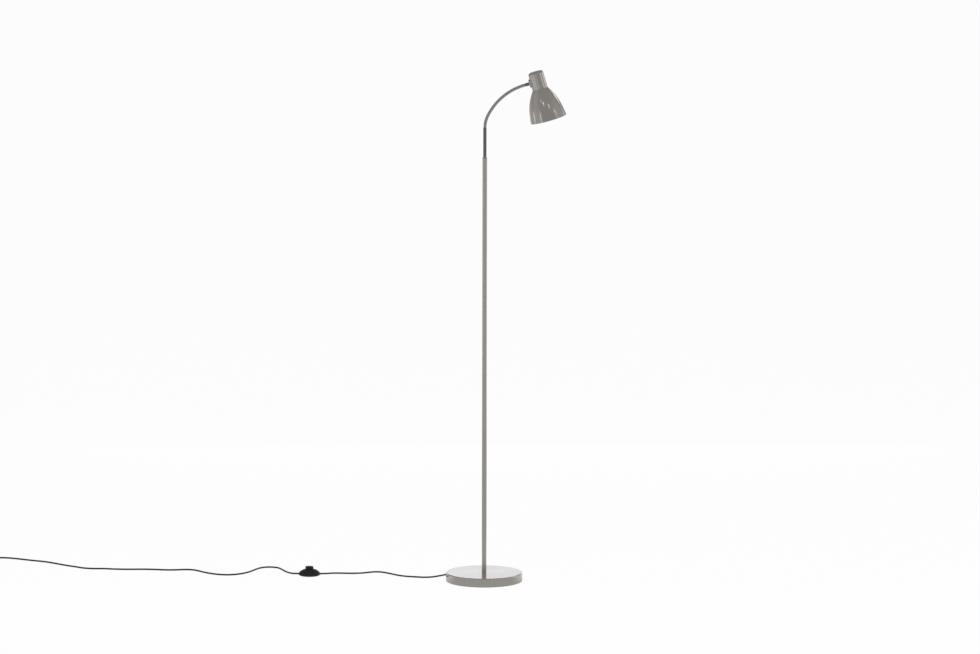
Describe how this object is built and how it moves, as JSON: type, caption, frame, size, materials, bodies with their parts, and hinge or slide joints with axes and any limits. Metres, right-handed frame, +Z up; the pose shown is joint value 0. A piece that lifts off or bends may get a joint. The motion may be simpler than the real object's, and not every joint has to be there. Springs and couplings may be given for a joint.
{
  "type": "gooseneck floor lamp",
  "caption": "Slim reading floor lamp: round weighted base, jointed pole, flexible ball-jointed neck, bell shade with deep cap, and a lead with a round foot switch and plug.",
  "frame": {"origin": "centre of the base's underside on the floor", "axes": "+Z up along the pole; +X the way the neck bends at rest; the free lead lies towards -X and +Y"},
  "size_m": [1.7466, 0.4476, 1.48],
  "materials": {
    "satin_nickel": "satin",
    "cast_iron": "rough",
    "zinc_steel": "satin",
    "chrome": "polished",
    "floor_pad": "soft",
    "lead_jacket": "satin",
    "switch_black": "gloss",
    "holder_black": "matte",
    "brass": "bright",
    "opal_glass": "opal",
    "spring_steel": "bright"
  },
  "bodies": {
    "stand": {"base_cover": "satin_nickel", "base_nut": "zinc_steel", "base_stud": "zinc_steel", "base_washer": "zinc_steel", "base_weight": "cast_iron", "cord_bushing": "lead_jacket", "cord_clamps": "holder_black", "cord_coil": "lead_jacket", "cord_tie": "switch_black", "cord_to_coil": "lead_jacket", "cord_to_switch": "lead_jacket", "floor_pad": "floor_pad", "inner_lead": "lead_jacket", "joint_studs": "zinc_steel", "neck_ferrule": "chrome", "pin_sleeves": "switch_black", "plug_body": "switch_black", "plug_pins": "brass", "pole_bush": "satin_nickel", "pole_inserts": "zinc_steel", "pole_lower": "satin_nickel", "pole_middle": "satin_nickel", "pole_upper": "satin_nickel", "switch_base": "switch_black", "switch_contacts": "brass", "switch_cover": "switch_black", "switch_screws": "zinc_steel", "switch_spring": "spring_steel"},
    "link_01": {"neck_link_01": "chrome"},
    "link_02": {"neck_link_02": "chrome"},
    "link_03": {"neck_link_03": "chrome"},
    "link_04": {"neck_link_04": "chrome"},
    "link_05": {"neck_link_05": "chrome"},
    "link_06": {"neck_link_06": "chrome"},
    "link_07": {"neck_link_07": "chrome"},
    "link_08": {"neck_link_08": "chrome"},
    "link_09": {"neck_link_09": "chrome"},
    "link_10": {"neck_link_10": "chrome"},
    "link_11": {"neck_link_11": "chrome"},
    "link_12": {"neck_link_12": "chrome"},
    "head": {"head_ferrule": "chrome", "rosette": "chrome", "saddle_washer": "zinc_steel", "entry_nut": "zinc_steel", "holder_bracket": "zinc_steel", "bracket_screw": "zinc_steel", "lamp_holder": "holder_black", "screw_shell": "brass", "shade": "satin_nickel", "shade_ring": "holder_black", "lamp_cap": "satin_nickel", "bulb_globe": "opal_glass", "bulb_base": "brass"},
    "switch_button": {"switch_button": "switch_black"}
  },
  "joints": [
    {"name": "neck_pitch_01", "type": "hinge", "parent": "stand", "child": "link_01", "pos_m": [0, 0, 1.3152], "axis": [0, 1, 0], "range_deg": [-10.6, 8]},
    {"name": "neck_sway_02", "type": "hinge", "parent": "link_01", "child": "link_02", "pos_m": [0.00151, 0, 1.32988], "axis": [-0.979, 0, 0.2039], "range_deg": [-12, 12]},
    {"name": "neck_pitch_03", "type": "hinge", "parent": "link_02", "child": "link_03", "pos_m": [0.00599, 0, 1.34394], "axis": [0, 1, 0], "range_deg": [-10.6, 8]},
    {"name": "neck_sway_04", "type": "hinge", "parent": "link_03", "child": "link_04", "pos_m": [0.01265, 0, 1.35713], "axis": [-0.8718, 0, 0.4899], "range_deg": [-12, 12]},
    {"name": "neck_pitch_05", "type": "hinge", "parent": "link_04", "child": "link_05", "pos_m": [0.02045, 0, 1.36968], "axis": [0, 1, 0], "range_deg": [-10.6, 8]},
    {"name": "neck_sway_06", "type": "hinge", "parent": "link_05", "child": "link_06", "pos_m": [0.02931, 0, 1.38151], "axis": [-0.7736, 0, 0.6337], "range_deg": [-12, 12]},
    {"name": "neck_pitch_07", "type": "hinge", "parent": "link_06", "child": "link_07", "pos_m": [0.03916, 0, 1.39253], "axis": [0, 1, 0], "range_deg": [-10.6, 8]},
    {"name": "neck_sway_08", "type": "hinge", "parent": "link_07", "child": "link_08", "pos_m": [0.04994, 0, 1.40264], "axis": [-0.6523, 0, 0.758], "range_deg": [-12, 12]},
    {"name": "neck_pitch_09", "type": "hinge", "parent": "link_08", "child": "link_09", "pos_m": [0.06155, 0, 1.41179], "axis": [0, 1, 0], "range_deg": [-10.6, 8]},
    {"name": "neck_sway_10", "type": "hinge", "parent": "link_09", "child": "link_10", "pos_m": [0.07391, 0, 1.41989], "axis": [-0.5112, 0, 0.8594], "range_deg": [-12, 12]},
    {"name": "neck_pitch_11", "type": "hinge", "parent": "link_10", "child": "link_11", "pos_m": [0.08692, 0, 1.42688], "axis": [0, 1, 0], "range_deg": [-10.6, 8]},
    {"name": "neck_sway_12", "type": "hinge", "parent": "link_11", "child": "link_12", "pos_m": [0.1005, 0, 1.43272], "axis": [-0.3548, 0, 0.9349], "range_deg": [-12, 12]},
    {"name": "neck_pitch_13", "type": "hinge", "parent": "link_12", "child": "head", "pos_m": [0.11453, 0, 1.43736], "axis": [0, 1, 0], "range_deg": [-10.6, 8]},
    {"name": "switch_press", "type": "slide", "parent": "stand", "child": "switch_button", "axis": [0, 0, -1], "range_m": [0, 0.0035], "stiffness_N_per_m": 600, "springref_m": -0.003, "deforming": ["switch_spring"]}
  ]
}
